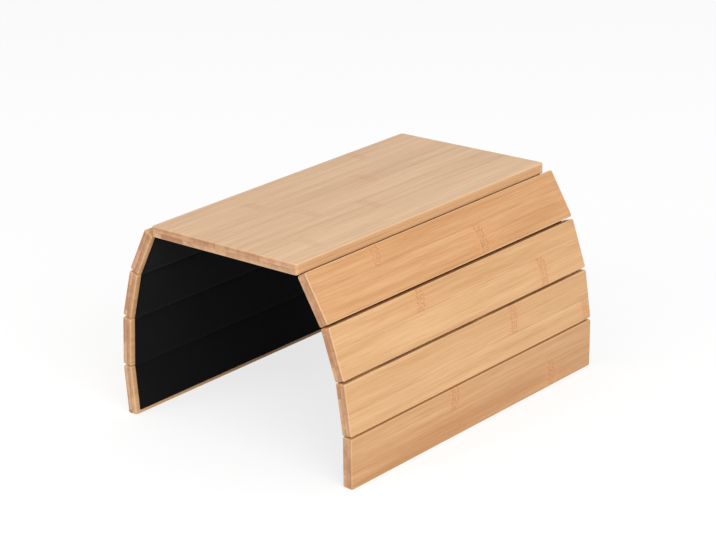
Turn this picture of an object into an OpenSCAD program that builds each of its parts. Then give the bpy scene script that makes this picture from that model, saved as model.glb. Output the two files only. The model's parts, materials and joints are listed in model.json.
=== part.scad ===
// Flexible bamboo tray that drapes over the arm of a sofa.
// X runs across the board, Y along the slats, Z up.
// The origin lies on the floor, under the middle of the board.

/* [Wood] */
// Width of the top board, across the arm of the sofa
board_w = 170; // [120:1:240]
// Length of the board and of every slat, along the arm
tray_l = 330; // [240:1:420]
// Width of one slat
slat_w = 46; // [34:1:60]
// Thickness of the bamboo, board and slats alike
wood_t = 10; // [6:0.5:14]
// Rounding of every long edge
arris_r = 1.2; // [0.4:0.1:2]
// Rounding of the board's four corners, seen from above
board_corner_r = 3; // [2:0.5:10]
// Rounding of each slat's four corners, seen on its face
slat_corner_r = 2; // [2:0.5:6]

/* [Backing] */
// Thickness of the cloth backing
backing_t = 1.5; // [0.8:0.1:2.5]
// Bare wood left at the two ends, past the backing
end_margin = 5; // [2:0.5:12]
// Bare wood left along the bottom edge of the last slat
hem_margin = 4; // [2:0.5:12]

/* [Hinges] */
// Gap between neighbouring pieces of wood when the tray lies flat
hinge_gap = 0.4; // [0.2:0.1:1.5]
// Space left beside the fold line in the backing at the largest fold
crease_clearance = 0.2; // [0.1:0.1:0.6]

/* [Fold as it stands] */
// Fold between the board and slat 1, in degrees from flat
fold_1 = 60.5; // [0:0.5:90]
// Fold between slat 1 and slat 2
fold_2 = 12.5; // [0:0.5:30]
// Fold between slat 2 and slat 3
fold_3 = 11; // [0:0.5:30]
// Fold between slat 3 and slat 4
fold_4 = 8.5; // [0:0.5:30]

/* [Largest fold] */
// Largest fold between the board and slat 1, in degrees from flat
fold_max_1 = 90; // [90:1:110]
// Largest fold between slat 1 and slat 2
fold_max_2 = 50; // [30:1:90]
// Largest fold between slat 2 and slat 3
fold_max_3 = 90; // [30:1:100]
// Largest fold between slat 3 and slat 4
fold_max_4 = 90; // [30:1:100]

/* [Hidden] */
$fn = 64;

slat_count = 4;
folds = [fold_1, fold_2, fold_3, fold_4];
folds_max = [fold_max_1, fold_max_2, fold_max_3, fold_max_4];

// Distance from one fold line to the next
pitch = slat_w + hinge_gap;
// The first fold line, from the middle of the board
hinge_x = (board_w + hinge_gap) / 2;
backing_l = tray_l - 2 * end_margin;

// Slope of a slat, counted down from level, and the drop from the board to its upper fold line
function slope(k) = k == 0 ? 0 : slope(k - 1) + folds[k - 1];
function drop(k) = k <= 1 ? 0 : drop(k - 1) + pitch * sin(slope(k - 1));

// Lowest point of the last slat's rounded bottom edge, at height h over its inner face
function edge_drop(h) =
    drop(slat_count)
    + (hinge_gap / 2 + slat_w - arris_r) * sin(slope(slat_count))
    - h * cos(slope(slat_count))
    + arris_r;
// The board's underside, with the tray standing on the bottom edges of the last slats
seat_z = max(edge_drop(arris_r), edge_drop(wood_t - arris_r));

// Width that a panel of the backing loses to its crease, on the side of fold line k
function crease(k) = backing_t * tan(folds_max[k - 1] / 2) + crease_clearance;

// Places its children at fold line k: X down the slat, Z out through its face
module at_fold(k) {
    if (k == 1)
        translate([hinge_x, 0, seat_z])
            rotate([0, folds[0], 0])
                children();
    else
        at_fold(k - 1)
            translate([pitch, 0, 0])
                rotate([0, folds[k - 1], 0])
                    children();
}

// Section of a piece of wood, w wide and centred, standing on its base
module eased_section(w) {
    translate([arris_r - w / 2, 0]) square([w - 2 * arris_r, wood_t]);
    translate([-w / 2, arris_r]) square([w, wood_t - 2 * arris_r]);
    for (x = [arris_r - w / 2, w / 2 - arris_r], z = [arris_r, wood_t - arris_r])
        translate([x, z]) circle(r = arris_r);
}

// One corner of a piece of wood: a round of radius corner_r with the same eased edges
module eased_corner(corner_r) {
    rotate_extrude() {
        square([corner_r - arris_r, wood_t]);
        translate([0, arris_r]) square([corner_r, wood_t - 2 * arris_r]);
        for (z = [arris_r, wood_t - arris_r])
            translate([corner_r - arris_r, z]) intersection() {
                circle(r = arris_r);
                translate([0, -arris_r]) square([arris_r, 2 * arris_r]);
            }
    }
}

// A piece of wood, w wide and tray_l long, with every edge eased and its corners rounded
module eased_plank(w, corner_r) {
    rotate([90, 0, 0])
        linear_extrude(tray_l - 2 * corner_r, center = true) eased_section(w);
    rotate([90, 0, 90])
        linear_extrude(w - 2 * corner_r, center = true) eased_section(tray_l);
    for (x = [-1, 1], y = [-1, 1])
        translate([x * (w / 2 - corner_r), y * (tray_l / 2 - corner_r), 0])
            eased_corner(corner_r);
}

// A panel of the backing, under the wood from x0 to x1, drawn in by a crease on each side
module backing_panel(x0, x1, crease_0, crease_1) {
    rotate([90, 0, 0])
        linear_extrude(backing_l, center = true)
            polygon([
                [x0, 0],
                [x0 + crease_0, -backing_t],
                [x1 - crease_1, -backing_t],
                [x1, 0]
            ]);
}

module top_board() {
    color("burlywood")
        translate([0, 0, seat_z]) eased_plank(board_w, board_corner_r);
}

module slat(k) {
    color("peru")
        at_fold(k)
            translate([pitch / 2, 0, 0]) eased_plank(slat_w, slat_corner_r);
}

module backing_centre() {
    color("black")
        translate([0, 0, seat_z]) backing_panel(-hinge_x, hinge_x, crease(1), crease(1));
}

module backing(k) {
    last = k == slat_count;
    color("black")
        at_fold(k)
            backing_panel(
                0,
                last ? hinge_gap / 2 + slat_w - hem_margin : pitch,
                crease(k),
                last ? 0 : crease(k + 1)
            );
}

// The left side is the right side's mirror image
module left() {
    mirror([1, 0, 0]) children();
}

top_board();
slat(1);  // slat_right_1
slat(2);  // slat_right_2
slat(3);  // slat_right_3
slat(4);  // slat_right_4
left() slat(1);  // slat_left_1
left() slat(2);  // slat_left_2
left() slat(3);  // slat_left_3
left() slat(4);  // slat_left_4
backing_centre();
backing(1);  // backing_right_1
backing(2);  // backing_right_2
backing(3);  // backing_right_3
backing(4);  // backing_right_4
left() backing(1);  // backing_left_1
left() backing(2);  // backing_left_2
left() backing(3);  // backing_left_3
left() backing(4);  // backing_left_4
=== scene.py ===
"""Looks of the sofa arm tray: nine eased bamboo planks, glued side by side on one black cloth.

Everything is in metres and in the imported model's frame: X across the board, Y along the
slats, Z up from the floor. A panel is numbered by the hinge line at its upper edge, so
panel 0 is the board and panels 1 to 4 are the slats, counted down. A side is 1 on the
right, where X is above 0, and -1 on the left.
"""
import json
import math

import bpy
import numpy as np
from mathutils import Matrix, Vector


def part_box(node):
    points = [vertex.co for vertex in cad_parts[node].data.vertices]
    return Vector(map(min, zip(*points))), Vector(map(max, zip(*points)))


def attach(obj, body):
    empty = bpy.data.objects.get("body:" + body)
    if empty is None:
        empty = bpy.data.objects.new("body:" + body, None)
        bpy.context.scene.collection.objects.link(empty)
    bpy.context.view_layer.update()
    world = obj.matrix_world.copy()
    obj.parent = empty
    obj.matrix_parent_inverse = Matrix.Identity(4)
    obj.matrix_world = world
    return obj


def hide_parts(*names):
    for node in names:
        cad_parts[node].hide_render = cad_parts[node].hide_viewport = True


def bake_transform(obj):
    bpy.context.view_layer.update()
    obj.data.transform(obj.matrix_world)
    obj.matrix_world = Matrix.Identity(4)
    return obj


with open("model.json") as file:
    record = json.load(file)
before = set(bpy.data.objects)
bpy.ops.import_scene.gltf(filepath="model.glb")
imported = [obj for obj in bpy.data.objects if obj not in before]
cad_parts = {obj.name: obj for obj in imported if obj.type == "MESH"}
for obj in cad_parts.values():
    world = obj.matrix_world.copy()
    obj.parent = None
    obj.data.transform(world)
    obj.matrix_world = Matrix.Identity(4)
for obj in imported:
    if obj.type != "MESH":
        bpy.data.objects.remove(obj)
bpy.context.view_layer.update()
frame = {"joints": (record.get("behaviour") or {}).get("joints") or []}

# Wood and cloth, as the frame has them
board_low, board_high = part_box("top_board")
panel_low, panel_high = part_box("backing_centre")
SEAT_Z = board_low.z
BOARD_W = board_high.x - board_low.x
TRAY_L = board_high.y - board_low.y
WOOD_T = board_high.z - board_low.z
CLOTH_T = SEAT_Z - panel_low.z
CLOTH_L = panel_high.y - panel_low.y

# Hinge lines of the right side, from the board down. A hinge's lower limit is the tray
# lying flat, so the limit gives the fold at which the tray stands.
HINGES = ("board", "upper", "middle", "lower")
right_joints = [
    next(joint for joint in frame["joints"] if joint["name"] == f"right_{name}_hinge")
    for name in HINGES
]
HINGE_AT = np.array([joint["pos_m"] for joint in right_joints])
FOLDS = np.radians([-joint["range_deg"][0] for joint in right_joints])
SLOPES = np.concatenate([[0.0], np.cumsum(FOLDS)])
LAST = len(HINGES)
PITCH = float(np.linalg.norm(HINGE_AT[1] - HINGE_AT[0]))
HINGE_X = float(HINGE_AT[0][0])
GAP = 2 * (HINGE_X - BOARD_W / 2)
SLAT_W = PITCH - GAP
# The last panel of the cloth ends this far below its hinge line
HEM_AT = (HINGE_AT[-1][2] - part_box(f"backing_right_{LAST}")[0].z) / math.sin(SLOPES[-1])
SIDES = {"right": 1, "left": -1}

# Roundings of the wood, as in the part's source
ARRIS_R = 0.0012
BOARD_CORNER_R = 0.003
SLAT_CORNER_R = 0.002
CORNER_STEPS = 8
ARRIS_STEPS = 8

# The cloth bends where the wood doesn't hold it: across the gap and under the two arrises.
# Its grid is finer over a stretch twice as long.
BEND_HALF = GAP / 2 + ARRIS_R
FINE_HALF = 2 * BEND_HALF
BEND_STEPS = 28
PANEL_STEPS = 10
ALONG_STEPS = 80
# Its two cut ends are eased a little, and stay sharp where they meet the hems
RIM_R = 0.0004
RIM_STEPS = 3
SHARP_ANGLE = math.radians(50)
# Share of the thickness lost in the crease over a hinge line, and half the crease's width
CREASE_DEPTH = 0.35
CREASE_HALF = 0.0022
# Puckers beside the crease, and their waves: radians a metre, height and turns of the phase
PUCKER_HEIGHT = 0.00012
PUCKER_HALF = 0.0045
PUCKER_WAVES = ((310, 1.0, 1), (523, 0.7, 2), (811, 0.5, 3))

# Bamboo strips that the wood is glued up from, two layers of them
STRIP_W = 0.026
LAYER_T = WOOD_T / 2
# Half the thickness of a glue line, where it has faded and where it is full
STRIP_JOINT = (0.0004, 0.0001)
LAYER_JOINT = (0.0002, 0.00005)
GLUE_PATCH_L = 0.05
# A knuckle: how far its glow and its ring reach along the strip, where the ring's two lips
# lie and how thick they are, how far the ring bows and how far it wanders
GLOW_REACH = 0.011
RING_REACH = 0.0022
LIP_AT = 0.0036
LIP_REACH = 0.0006
RING_BOW = 0.0022
RING_WANDER = 0.006
# Widths and lengths of the patterns in the wood
WANDER_SIZE = (0.004, 0.02)
MOTTLE_SIZE = (0.0014, 0.0016)
SWING_SIZE = (0.007, 0.009)
FINE_FIBRE = (0.00035, 0.022)
MIDDLING_FIBRE = (0.0015, 0.09)
BROAD_FIBRE = (0.007, 0.16)
VESSEL = (0.0006, 0.03)
# How far the fibres drift down a strip and swing where a knuckle glows
DRIFT = 0.004
DRIFT_L = 0.11
SWING = 0.006
# Each strip is cut from another place of the pattern, up to this far across and along
STRIP_SHIFT = (0.31, 7.0)
# Added to a strip's number in the outer layer, so that its two random numbers are its own
OUTER_STRIPS = (31.7, 57.3)
# Bundles of fibres in the end grain: their width, and their number through a layer
BUNDLE_W = 0.00055
BUNDLES = 9
WOOD_BUMP = 0.00006

# Cloth: one thread's width, the height of its weave, its fuzz and its clouds
THREAD = 0.0007
WEAVE_BUMP = 0.00012
FUZZ = 0.0003
CLOUD_SIZE = (0.03, 0.05)

# Colours of the wood, the cloth and the floor, as red, green and blue of 255
CREAM = (240, 208, 164)
AMBER = (206, 134, 72)
BROWN = (150, 92, 46)
KNUCKLE_BROWN = (138, 82, 42)
GLUE_BROWN = (112, 66, 32)
END_PALE = (214, 172, 132)
END_DEEP = (168, 116, 78)
CLOTH_DARK = (8, 8, 9)
CLOTH_LIGHT = (20, 20, 22)
FLOOR_DARK = (228, 228, 228)
FLOOR_LIGHT = (234, 234, 234)
WHITE_LIGHT = (1, 1, 1, 1)

# Each piece of wood: its mean colour, a joint between its outer strips, its knuckles and a
# seed. A knuckle is a place across and along the piece and how strong the mark is. One that
# lies past the end still glows on the piece.
BOARD_WOOD = (
    (221, 177, 130),
    0.025,
    [
        (0.142, 0.047, 0.45),
        (0.116, 0.152, 0.60),
        (0.090, 0.102, 0.55),
        (0.064, 0.205, 0.65),
        (0.038, 0.088, 0.60),
        (0.012, 0.250, 0.55),
    ],
    4.0,
)
SLAT_WOOD = {
    ("right", 1): (
        (211, 154, 98),
        0.018,
        [(0.008, 0.082, 0.7), (0.031, 0.209, 1.7), (0.031, 0.338, 1.3), (0.008, 0.345, 1.0)],
        11.0,
    ),
    ("right", 2): ((217, 167, 112), 0.0195, [(0.010, 0.111, 1.0), (0.033, 0.272, 1.0)], 12.0),
    ("right", 3): ((216, 166, 111), 0.026, [(0.013, 0.221, 0.9), (0.039, 0.324, 1.1)], 13.0),
    ("right", 4): ((200, 145, 89), 0.0205, [(0.010, 0.134, 1.0), (0.033, 0.271, 1.0)], 14.0),
    ("left", 1): ((216, 165, 111), 0.022, [(0.012, 0.231, 0.9), (0.035, 0.061, 1.0)], 21.0),
    ("left", 2): ((206, 151, 95), 0.013, [(0.026, 0.154, 1.1), (0.006, 0.287, 0.8)], 22.0),
    ("left", 3): ((217, 167, 113), 0.024, [(0.012, 0.096, 1.0), (0.036, 0.262, 0.9)], 23.0),
    ("left", 4): ((211, 157, 101), 0.016, [(0.030, 0.198, 1.0), (0.008, 0.071, 0.8)], 24.0),
}

# Light on the object, and the level of a background that shows as white
WORLD_LIGHT = 0.62
WHITE = 1.0
# Two soft lamps: the place and the power of each, what they aim at and their width
LAMPS = {"key_lamp": ((2.2, -1.0, 1.3), 42.0), "front_lamp": ((-0.6, -2.4, 1.4), 22.0)}
LAMP_AIM = (0.0, 0.0, 0.1)
LAMP_W = 1.6
# The floor: half its width, its glow where it is seen, and its share of lit paint there
FLOOR_HALF = 6.0
FLOOR_GLOW = 0.74
FLOOR_SHARE = 0.36

# The photograph's camera, found by fitting the tray's corners
CAMERA_AT = (1.255343, -1.366723, 0.792151)
CAMERA_YAW = math.radians(42.539)
CAMERA_PITCH = math.radians(20.045)
CAMERA_ROLL = math.radians(-2.683)
FOCAL_PX = 2211.161
PHOTO_W_PX = 716
SENSOR_W = 36.0


def linear(colour):
    """A colour of 0 to 255 as the linear RGBA that shader sockets take."""
    share = np.array(colour) / 255
    light = np.where(share <= 0.04045, share / 12.92, ((share + 0.055) / 1.055) ** 2.4)
    return (*light.tolist(), 1.0)


def between(first, second, share):
    """The colour that lies a share of the way from one colour to another, in linear light."""
    a = np.array(linear(first))
    b = np.array(linear(second))
    return tuple((a + (b - a) * share).tolist())


class Value:
    """One output of a shader's nodes. Arithmetic on it adds the Math nodes that it takes."""

    def __init__(self, shader, socket):
        self.shader = shader
        self.socket = socket

    def __add__(self, other):
        return self.shader.math("ADD", self, other)

    def __sub__(self, other):
        return self.shader.math("SUBTRACT", self, other)

    def __rsub__(self, other):
        return self.shader.math("SUBTRACT", other, self)

    def __mul__(self, other):
        return self.shader.math("MULTIPLY", self, other)

    def __truediv__(self, other):
        return self.shader.math("DIVIDE", self, other)

    def __pow__(self, other):
        return self.shader.math("POWER", self, other)

    def __neg__(self):
        return self.shader.math("MULTIPLY", self, -1)

    def __abs__(self):
        return self.shader.math("ABSOLUTE", self)

    def __gt__(self, other):
        return self.shader.math("GREATER_THAN", self, other)

    def __lt__(self, other):
        return self.shader.math("LESS_THAN", self, other)

    __radd__ = __add__
    __rmul__ = __mul__


class Shader:
    """The node tree of a material or a world, written as expressions on Values."""

    def __init__(self, owner):
        self.owner = owner
        owner.use_nodes = True
        self.tree = owner.node_tree
        self.tree.nodes.clear()

    def add(self, kind, settings, inputs):
        """A new node: its settings first, then the value or link of each input."""
        made = self.tree.nodes.new(kind)
        for key, setting in settings.items():
            setattr(made, key, setting)
        for key, given in inputs.items():
            if isinstance(given, Value):
                self.tree.links.new(given.socket, made.inputs[key])
            else:
                made.inputs[key].default_value = given
        return made

    def node(self, kind, settings, inputs, output=0):
        """One output of a new node."""
        return Value(self, self.add(kind, settings, inputs).outputs[output])

    def math(self, operation, *inputs):
        return self.node("ShaderNodeMath", {"operation": operation}, dict(enumerate(inputs)))

    def smallest(self, first, second):
        return self.math("MINIMUM", first, second)

    def largest(self, first, second):
        return self.math("MAXIMUM", first, second)

    def attribute(self, name, output):
        return self.node("ShaderNodeAttribute", {"attribute_name": name}, {}, output)

    def vector(self, x, y, z):
        return self.node("ShaderNodeCombineXYZ", {}, {"X": x, "Y": y, "Z": z})

    def parts(self, vector):
        return [self.node("ShaderNodeSeparateXYZ", {}, {0: vector}, axis) for axis in "XYZ"]

    def noise(self, vector, detail):
        """Noise from 0 to 1, mostly near 0.5, with features about one unit of the vector wide."""
        inputs = {"Vector": vector, "Scale": 1.0, "Detail": detail}
        return self.node("ShaderNodeTexNoise", {}, inputs, "Fac")

    def random(self, value):
        """One random number from 0 to 1 for each value."""
        settings = {"noise_dimensions": "1D"}
        return self.node("ShaderNodeTexWhiteNoise", settings, {"W": value}, "Value")

    def smooth(self, value, low, high):
        """The smooth step from 0 at low to 1 at high. It falls where low is the larger."""
        rising = high > low
        return self.node(
            "ShaderNodeMapRange",
            {"interpolation_type": "SMOOTHSTEP"},
            {0: value, 1: min(low, high), 2: max(low, high), 3: float(not rising), 4: float(rising)},
        )

    def bell(self, distance, width):
        """exp(-(distance / width)^2)"""
        return self.math("EXPONENT", -((distance / width) ** 2))

    def mix(self, share, first, second):
        """The colour that lies a share of the way from the first to the second."""
        settings = {"data_type": "RGBA", "clamp_factor": True}
        return self.node("ShaderNodeMix", settings, {0: share, 6: first, 7: second}, 2)

    def bump(self, height, distance, strength):
        inputs = {"Height": height, "Distance": distance, "Strength": strength}
        return self.node("ShaderNodeBump", {}, inputs)

    def seen(self):
        """1 for rays that show what stands behind the object: camera, glossy and transmission."""
        names = ("Is Camera Ray", "Is Glossy Ray", "Is Transmission Ray")
        rays = [self.node("ShaderNodeLightPath", {}, {}, name) for name in names]
        return self.largest(self.largest(rays[0], rays[1]), rays[2])

    def surface(self, closure, kind="ShaderNodeOutputMaterial"):
        """Ends the tree with this closure and returns the material or world."""
        self.add(kind, {}, {"Surface": closure})
        return self.owner


def knuckle_marks(s, across, along, outer, mottle, strip_at, knuckles, seed):
    """How much the knuckles glow and how much of their rings shows, at each place.

    A culm's ring crosses one strip. A point lies d = along - knuckle + bow u^2 + wander from
    it, with u from -1 to 1 across the strip. The glow is exp(-(d / g)^2). The ring is a
    mottled band exp(-(d / r)^2), between two mottled lips at |d| = LIP_AT.
    """
    wander_w, wander_l = WANDER_SIZE
    wander = s.noise(s.vector(across / wander_w, along / wander_l, seed), 1.0) - 0.5
    glow = 0.0
    ring = 0.0
    for knuckle_across, knuckle_along, strength in knuckles:
        middle = math.floor((knuckle_across - strip_at) / STRIP_W) + 0.5
        middle = strip_at + middle * STRIP_W
        sideways = (across - middle) / (STRIP_W / 2)
        in_strip = (abs(sideways) < 1) * outer
        bow = RING_BOW * sideways * sideways
        away = along - knuckle_along + bow + wander * RING_WANDER
        full = min(1.0, strength)
        glow = glow + in_strip * s.bell(away, GLOW_REACH * strength) * full
        band = s.bell(away, RING_REACH) * s.smooth(mottle, 0.40, 0.62)
        lip = s.bell(abs(away) - LIP_AT, LIP_REACH) * s.smooth(mottle, 0.35, 0.55)
        ring = ring + in_strip * (band * 0.7 + lip) * full
    return glow, ring


def end_grain(s, across, through, strip, outer, tone, seam):
    """The colour of a cut end, and its dots, the bundles of fibres that are cut across.

    They are darker towards each layer's outer skin.
    """
    skin = s.math("FRACT", through / LAYER_T)
    place = s.vector(across / BUNDLE_W, skin * BUNDLES, strip + outer)
    bundle = s.node(
        "ShaderNodeTexVoronoi", {"feature": "F1"}, {"Vector": place, "Scale": 1.0}, "Distance"
    )
    dots = s.smooth(bundle, 0.5, 0.2) * (0.35 + skin * 0.5)
    colour = s.mix(tone + (0.5 - skin) * 0.4, linear(END_DEEP), linear(END_PALE))
    colour = s.mix(dots, colour, linear(BROWN))
    return s.mix(seam, colour, linear(GLUE_BROWN)), dots


def bamboo(name, honey, strip_at, knuckles, seed):
    """Satin-lacquered laminated bamboo, in a plank's own coordinates.

    honey is its mean colour and strip_at a joint between two strips of the outer layer.
    knuckles are (across, along, strength), where a culm's ring crosses a strip.
    """
    s = Shader(bpy.data.materials.new(name))
    across, along, through = s.parts(s.attribute("grain", "Vector"))
    end = s.attribute("end", "Fac")
    eased = s.attribute("eased", "Fac")
    outer = through > LAYER_T

    # Strips: the inner layer's joints lie half a strip away from the outer layer's
    strips = (across - strip_at) / STRIP_W + (1 - outer) * 0.5
    strip = s.math("FLOOR", strips)
    strip_share = s.math("FRACT", strips)
    to_joint = s.smallest(strip_share, 1 - strip_share) * STRIP_W
    chance = s.random(strip + outer * OUTER_STRIPS[0] + seed)
    other_chance = s.random(strip + outer * OUTER_STRIPS[1] + seed + 0.5)

    mottle_w, mottle_l = MOTTLE_SIZE
    mottle = s.noise(s.vector(across / mottle_w, along / mottle_l, seed), 2.0)
    glow, ring = knuckle_marks(s, across, along, outer, mottle, strip_at, knuckles, seed)

    # Fibres: they drift a little down the strip and swing where a knuckle glows
    swing_w, swing_l = SWING_SIZE
    swing = s.noise(s.vector(across / swing_w, along / swing_l, seed + 3), 1.0) - 0.5
    drift = s.noise(s.vector(strip, along / DRIFT_L, seed + 5), 1.0) - 0.5
    fibre = across + drift * DRIFT + glow * swing * SWING + chance * STRIP_SHIFT[0]
    run = along + other_chance * STRIP_SHIFT[1]

    def streaks(size, detail, shift=0.0):
        """Noise drawn out along the fibres, with streaks of this width and length."""
        width, length = size
        return s.noise(s.vector(fibre / width, run / length, through / width + shift), detail)

    fine = streaks(FINE_FIBRE, 2.0) - 0.5
    middling = streaks(MIDDLING_FIBRE, 3.0) - 0.5
    broad = streaks(BROAD_FIBRE, 2.0) - 0.5
    vessel = s.smooth(streaks(VESSEL, 1.0, 9), 0.60, 0.74)
    tone = 0.5 + fine * 0.7 + middling + broad * 1.1 + (chance - 0.5) * 0.55

    colour = s.mix(tone, between(honey, BROWN, 0.34), between(honey, CREAM, 0.36))
    colour = s.mix(vessel * 0.22, colour, linear(BROWN))
    colour = s.mix(glow * 0.38, colour, linear(AMBER))
    colour = s.mix(ring * 0.5, colour, linear(KNUCKLE_BROWN))
    colour = s.mix(glow * s.smooth(mottle, 0.55, 0.35) * 0.25, colour, linear(CREAM))

    # Glue: a thin line that comes and goes along the strip, and the one between the layers
    patchy = s.smooth(s.noise(s.vector(strip, along / GLUE_PATCH_L, seed + 8), 1.0), 0.36, 0.58)
    joint = s.smooth(to_joint, *STRIP_JOINT) * patchy
    layer_joint = s.smooth(abs(through - LAYER_T), *LAYER_JOINT)
    seam = s.largest(joint * 0.45, layer_joint * 0.4)
    colour = s.mix(seam, colour, linear(GLUE_BROWN))

    end_tone = 0.5 + (chance - 0.5) * 0.8 + broad * 1.2
    end_colour, dots = end_grain(s, across, through, strip, outer, end_tone, seam)
    colour = s.mix(end, colour, end_colour)
    # Painted highlight: the middle of each eased arris is lightened towards cream, as if it caught
    # the light
    colour = s.mix(eased * 0.3, colour, linear(CREAM))

    height = fine * 0.35 + vessel * -0.25 - joint * 0.8 - dots * end * 0.5 + ring * 0.3
    closure = s.node(
        "ShaderNodeBsdfPrincipled",
        {},
        {
            "Base Color": colour,
            "Roughness": 0.42 + fine * 0.16 + end * 0.12 - eased * 0.05,
            "Normal": s.bump(height, WOOD_BUMP, 0.6),
            "Coat Weight": 0.12,
            "Coat Roughness": 0.3,
        },
    )
    return s.surface(closure)


def black_cloth():
    """Matt black cloth in a plain weave, in the cloth's own flat coordinates.

    Threads cross at P = sin(pi u) sin(pi v): the warp is on top where P is above 0 and
    the weft where it is below, and the height is the square root of |P|.
    """
    s = Shader(bpy.data.materials.new("black_cloth"))
    across, along, depth = s.parts(s.attribute("weave", "Vector"))
    turns = math.pi / THREAD
    crossing = s.math("SINE", across * turns) * s.math("SINE", along * turns)
    crown = abs(crossing) ** 0.5
    fuzz = s.noise(s.vector(across / FUZZ, along / FUZZ, depth / FUZZ), 3.0)
    cloud_w, cloud_l = CLOUD_SIZE
    cloudy = s.noise(s.vector(across / cloud_w, along / cloud_l, 0.0), 2.0)
    # Painted shade: the thread crowns are lighter and the hollows of the weave darker. The warp and
    # weft tone, the fuzz and the clouds are the cloth's own.
    shade = crown * 0.4 + s.smooth(crossing, -0.2, 0.2) * 0.12 + fuzz * 0.35 + (cloudy - 0.5) * 0.5
    closure = s.node(
        "ShaderNodeBsdfPrincipled",
        {},
        {
            "Base Color": s.mix(shade, linear(CLOTH_DARK), linear(CLOTH_LIGHT)),
            "Roughness": 0.85 + fuzz * 0.12,
            "Specular IOR Level": 0.06,
            "Sheen Weight": 0.04,
            "Sheen Roughness": 0.5,
            "Normal": s.bump(crown + fuzz * 0.5, WEAVE_BUMP, 0.8),
        },
    )
    return s.surface(closure)


def body_name(side_name, panel):
    """The CAD body of a panel: the board is one body for both sides."""
    return "board" if panel == 0 else f"{side_name}_slat_{panel}"


def hinge_line(side, panel):
    """The point at mid-length on the hinge line at a panel's upper edge."""
    x, y, z = HINGE_AT[panel - 1]
    return np.array([side * x, y, z])


def panel_axes(side, panel):
    """Unit vectors across (down the panel), along and out of a panel, as rows.

    A panel of slope a runs down at a from level, so across is (side cos a, 0, -sin a) and
    out is (side sin a, 0, cos a). Along is out x across, which keeps the rows right-handed.
    """
    slope = SLOPES[panel]
    across = np.array([side * math.cos(slope), 0.0, -math.sin(slope)])
    out = np.array([side * math.sin(slope), 0.0, math.cos(slope)])
    return np.array([across, np.cross(out, across), out])


def new_object(name, points, faces, attributes, material):
    """An object at the origin from points, quads and named point attributes."""
    mesh = bpy.data.meshes.new(name)
    mesh.from_pydata(points.tolist(), [], faces.tolist())
    for key, values in attributes.items():
        kind, field = ("FLOAT_VECTOR", "vector") if values.ndim == 2 else ("FLOAT", "value")
        attribute = mesh.attributes.new(key, kind, "POINT")
        attribute.data.foreach_set(field, values.astype(np.float32).ravel())
    mesh.materials.append(material)
    mesh.shade_smooth()
    made = bpy.data.objects.new(name, mesh)
    bpy.context.scene.collection.objects.link(made)
    return made


def loop_quads(rows, columns):
    """Quads of a grid of rows x columns points whose last column joins its first."""
    row, column = np.meshgrid(np.arange(rows - 1), np.arange(columns), indexing="ij")
    after = (column + 1) % columns
    corners = [
        row * columns + column,
        row * columns + after,
        (row + 1) * columns + after,
        (row + 1) * columns + column,
    ]
    return np.stack(corners, axis=-1).reshape(-1, 4)


def ladder_quads(count):
    """Quads that close a loop with rungs, each from point i to its mirror image count - 1 - i."""
    step = np.arange(count // 2 - 1)
    mirror = count - 1 - step
    return np.stack([step, step + 1, mirror - 1, mirror], axis=-1)


def plank(name, width, corner_r, origin, axes, material):
    """A plank with every edge eased and four rounded corners, its inner face on its origin.

    The plan turns round the four corners by t, the section from the inner face
    (e = -90 degrees) to the outer face (e = 90 degrees). In plan a point lies at
    C(t) + (R - r + r cos e) N(t), with C the centre of the corner's round and N(t) the
    unit vector at t. Its height is r + r sin e under the edge's straight part and
    T - r + r sin e over it. The normal is (cos e N(t), sin e). Each flat face is a ladder.
    """
    quarter = np.linspace(0, math.pi / 2, CORNER_STEPS + 1)
    turn = np.concatenate([quarter + (corner - 1) * math.pi / 2 for corner in range(4)])
    plan_out = np.stack([np.cos(turn), np.sin(turn)], axis=-1)
    corner_signs = np.repeat([[1, -1], [1, 1], [-1, 1], [-1, -1]], CORNER_STEPS + 1, axis=0)
    corner_centre = corner_signs * [width / 2 - corner_r, TRAY_L / 2 - corner_r]

    ease = np.linspace(0, math.pi / 2, ARRIS_STEPS + 1)
    tilt = np.concatenate([ease - math.pi / 2, ease])
    lower_edge = np.arange(tilt.size) <= ARRIS_STEPS
    height = np.where(lower_edge, ARRIS_R, WOOD_T - ARRIS_R) + ARRIS_R * np.sin(tilt)
    reach = corner_r - ARRIS_R + ARRIS_R * np.cos(tilt)

    rings, loop = tilt.size, turn.size
    plan = corner_centre + reach[:, None, None] * plan_out
    heights = np.broadcast_to(height[:, None, None], (rings, loop, 1))
    local = np.concatenate([plan, heights], axis=-1).reshape(-1, 3)
    sideways = np.cos(tilt)[:, None, None] * plan_out
    upright = np.broadcast_to(np.sin(tilt)[:, None, None], (rings, loop, 1))
    normal = np.concatenate([sideways, upright], axis=-1).reshape(-1, 3)

    inner_face = ladder_quads(loop)[:, ::-1]
    outer_face = ladder_quads(loop) + (rings - 1) * loop
    faces = np.concatenate([loop_quads(rings, loop), inner_face, outer_face])
    attributes = {
        "grain": local + [width / 2, TRAY_L / 2, 0],
        "end": normal[:, 1] ** 2,
        # Middle of each arris: the bamboo colour is lightened there as a painted highlight, and its
        # roughness lowered
        "eased": np.repeat(np.sin(2 * tilt) ** 2, loop),
    }
    made = new_object(name, origin + local @ axes, faces, attributes, material)
    made.data.normals_split_custom_set_from_vertices((normal @ axes).tolist())
    return made


def cloth_depth(across, along, phase):
    """How thick the cloth is at a distance across from its hinge line.

    Depth is T (1 - c exp(-(across / k)^2)), thinner along the crease, with small puckers
    p exp(-(across / q)^2) times the sum of the waves h sin(n along + m phase).
    """
    crease = CREASE_DEPTH * np.exp(-((across / CREASE_HALF) ** 2))
    waves = sum(
        height * np.sin(number * along + turns * phase) for number, height, turns in PUCKER_WAVES
    )
    return CLOTH_T * (1 - crease) + PUCKER_HEIGHT * waves * np.exp(-((across / PUCKER_HALF) ** 2))


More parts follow.
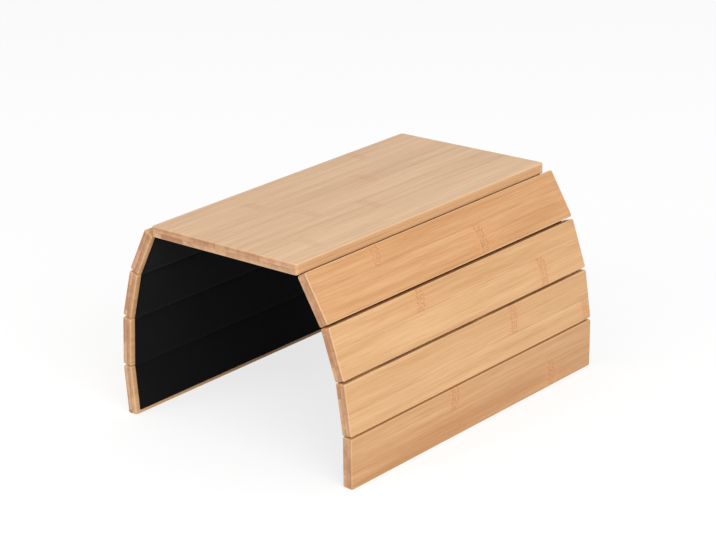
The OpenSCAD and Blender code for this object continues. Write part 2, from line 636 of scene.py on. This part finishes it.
def cloth(name, side, panel, before, after, middle_at, material):
    """The cloth over one hinge line, from before it to after it, as a closed slab.

    Its section along the slats is a loop: the glued face, an eased rim, the open face and
    the other rim. A point at (s, -depth) from the hinge line turns about the line by w(s)
    times the fold, where w is the smooth step from 0 to 1 over the bend.
    """
    bend = np.linspace(-1, 1, BEND_STEPS + 1) * FINE_HALF
    to_middle = np.linspace(-before, bend[0], PANEL_STEPS)[:-1]
    from_bend = np.linspace(bend[-1], after, PANEL_STEPS)[1:]
    run = np.concatenate([to_middle, bend, from_bend])

    face_y = np.linspace(-1, 1, ALONG_STEPS + 1) * (CLOTH_L / 2 - RIM_R)
    ease = np.linspace(0, math.pi / 2, RIM_STEPS + 1)[1:]
    rim_y = CLOTH_L / 2 - RIM_R * (1 - np.sin(ease))
    rim_share = RIM_R / CLOTH_T * (1 - np.cos(ease))
    half_y = np.concatenate([-rim_y[::-1], face_y, rim_y])
    half_share = np.concatenate([rim_share[::-1], np.zeros(face_y.size), rim_share])
    loop_y = np.concatenate([half_y, half_y[::-1]])
    loop_share = np.concatenate([half_share, 1 - half_share])

    across, along = np.meshgrid(run, loop_y, indexing="ij")
    depth = loop_share * cloth_depth(across, along, side * panel)
    share = np.clip((across + BEND_HALF) / (2 * BEND_HALF), 0, 1)
    turn = FOLDS[panel - 1] * share * share * (3 - 2 * share)
    down = across * np.cos(turn) - depth * np.sin(turn)
    out = -across * np.sin(turn) - depth * np.cos(turn)
    local = np.stack([down, along, out], axis=-1).reshape(-1, 3)
    axes = panel_axes(side, panel - 1)
    hinge = hinge_line(side, panel)

    rows, loop = across.shape
    first_cap = ladder_quads(loop)
    last_cap = ladder_quads(loop)[:, ::-1] + (rows - 1) * loop
    faces = np.concatenate([loop_quads(rows, loop)[:, ::-1], first_cap, last_cap])
    flat = np.stack([middle_at + across, along, -depth], axis=-1).reshape(-1, 3)
    made = new_object(name, hinge + local @ axes, faces, {"weave": flat}, material)
    made.data.set_sharp_from_angle(angle=SHARP_ANGLE)
    return made


def build_board():
    material = bamboo("board_bamboo", *BOARD_WOOD)
    origin = np.array([0.0, 0.0, SEAT_Z])
    axes = panel_axes(SIDES["right"], 0)
    board = plank("bamboo_board", BOARD_W, BOARD_CORNER_R, origin, axes, material)
    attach(board, "board")
    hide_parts("top_board")


def build_slat(side_name, side, panel):
    name = f"{side_name}_{panel}"
    material = bamboo(f"slat_bamboo_{name}", *SLAT_WOOD[side_name, panel])
    axes = panel_axes(side, panel)
    origin = hinge_line(side, panel) + axes[0] * PITCH / 2
    slat = plank(f"bamboo_slat_{name}", SLAT_W, SLAT_CORNER_R, origin, axes, material)
    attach(slat, body_name(side_name, panel))
    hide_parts(f"slat_{name}")


def build_cloth(side_name, side, panel, material):
    """One piece of the backing: it reaches from the middle of a panel to the middle of the next."""
    before = HINGE_X if panel == 1 else PITCH / 2
    after = HEM_AT if panel == LAST else PITCH / 2
    middle_at = HINGE_X + (panel - 1) * PITCH
    name = f"cloth_{side_name}_{panel}"
    piece = cloth(name, side, panel, before, after, middle_at, material)
    hinge = hinge_line(side, panel)
    start = hinge - BEND_HALF * panel_axes(side, panel - 1)[0]
    end = hinge + BEND_HALF * panel_axes(side, panel)[0]
    above = "backing_centre" if panel == 1 else f"backing_{side_name}_{panel - 1}"
    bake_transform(piece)
    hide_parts(above, f"backing_{side_name}_{panel}")


def build_tray():
    build_board()
    cloth_finish = black_cloth()
    for side_name, side in SIDES.items():
        for panel in range(1, LAST + 1):
            build_slat(side_name, side, panel)
            build_cloth(side_name, side, panel, cloth_finish)


def build_floor():
    """A pale floor that can't be seen from below.

    Seen from above, it glows up to white but keeps a share of the object's shadow.
    """
    s = Shader(bpy.data.materials.new("pale_floor"))
    speckle = s.noise(s.node("ShaderNodeTexCoord", {}, {}, "Object"), 2.0)
    paint = s.mix(speckle, linear(FLOOR_DARK), linear(FLOOR_LIGHT))
    matt = s.node("ShaderNodeBsdfDiffuse", {}, {"Color": paint})
    strength = FLOOR_GLOW / (1 - FLOOR_SHARE)
    glow = s.node("ShaderNodeEmission", {}, {"Color": WHITE_LIGHT, "Strength": strength})
    lit = s.node("ShaderNodeMixShader", {}, {0: FLOOR_SHARE, 1: glow, 2: matt})
    shown = s.node("ShaderNodeMixShader", {}, {0: s.seen(), 1: matt, 2: lit})
    from_below = s.node("ShaderNodeNewGeometry", {}, {}, "Backfacing")
    clear = s.node("ShaderNodeBsdfTransparent", {}, {})
    material = s.surface(s.node("ShaderNodeMixShader", {}, {0: from_below, 1: shown, 2: clear}))

    corners = np.array([[-1, -1, 0], [1, -1, 0], [1, 1, 0], [-1, 1, 0]]) * FLOOR_HALF
    floor = new_object("floor", corners, np.array([[0, 1, 2, 3]]), {}, material)


def build_world():
    """Even white light from all round, and a background that shows as white."""
    s = Shader(bpy.data.worlds.new("studio"))
    level = WORLD_LIGHT + s.seen() * (WHITE - WORLD_LIGHT)
    background = s.node("ShaderNodeBackground", {}, {"Color": WHITE_LIGHT, "Strength": level})
    bpy.context.scene.world = s.surface(background, "ShaderNodeOutputWorld")


def build_lamp(name, place, power):
    """A soft square lamp at a place, turned towards the tray."""
    lamp = bpy.data.lights.new(name, "AREA")
    lamp.shape = "SQUARE"
    lamp.size = LAMP_W
    lamp.energy = power
    made = bpy.data.objects.new(name, lamp)
    bpy.context.scene.collection.objects.link(made)
    made.location = place
    made.rotation_euler = (Vector(LAMP_AIM) - Vector(place)).to_track_quat("-Z", "Y").to_euler()


def build_camera():
    """The photograph's camera: it looks along its yaw and pitch, rolled about its own axis.

    Forward is (-sin yaw cos pitch, cos yaw cos pitch, -sin pitch).
    """
    yaw, pitch, roll = CAMERA_YAW, CAMERA_PITCH, CAMERA_ROLL
    heading = Vector((-math.sin(yaw), math.cos(yaw), 0))
    forward = math.cos(pitch) * heading - math.sin(pitch) * Vector((0, 0, 1))
    level = Vector((math.cos(yaw), math.sin(yaw), 0))
    above = level.cross(forward)
    right = math.cos(roll) * level + math.sin(roll) * above
    up = -math.sin(roll) * level + math.cos(roll) * above
    turn = Matrix((right, up, -forward)).transposed()
    camera = bpy.data.cameras.new("camera")
    camera.sensor_width = SENSOR_W
    camera.lens = FOCAL_PX / PHOTO_W_PX * SENSOR_W
    made = bpy.data.objects.new("camera", camera)
    made.matrix_world = Matrix.Translation(CAMERA_AT) @ turn.to_4x4()
    bpy.context.scene.collection.objects.link(made)
    bpy.context.scene.camera = made


build_camera()
bpy.context.scene.view_settings.view_transform = "Standard"
build_world()
for lamp_name, (lamp_place, lamp_power) in LAMPS.items():
    build_lamp(lamp_name, lamp_place, lamp_power)
build_floor()
build_tray()
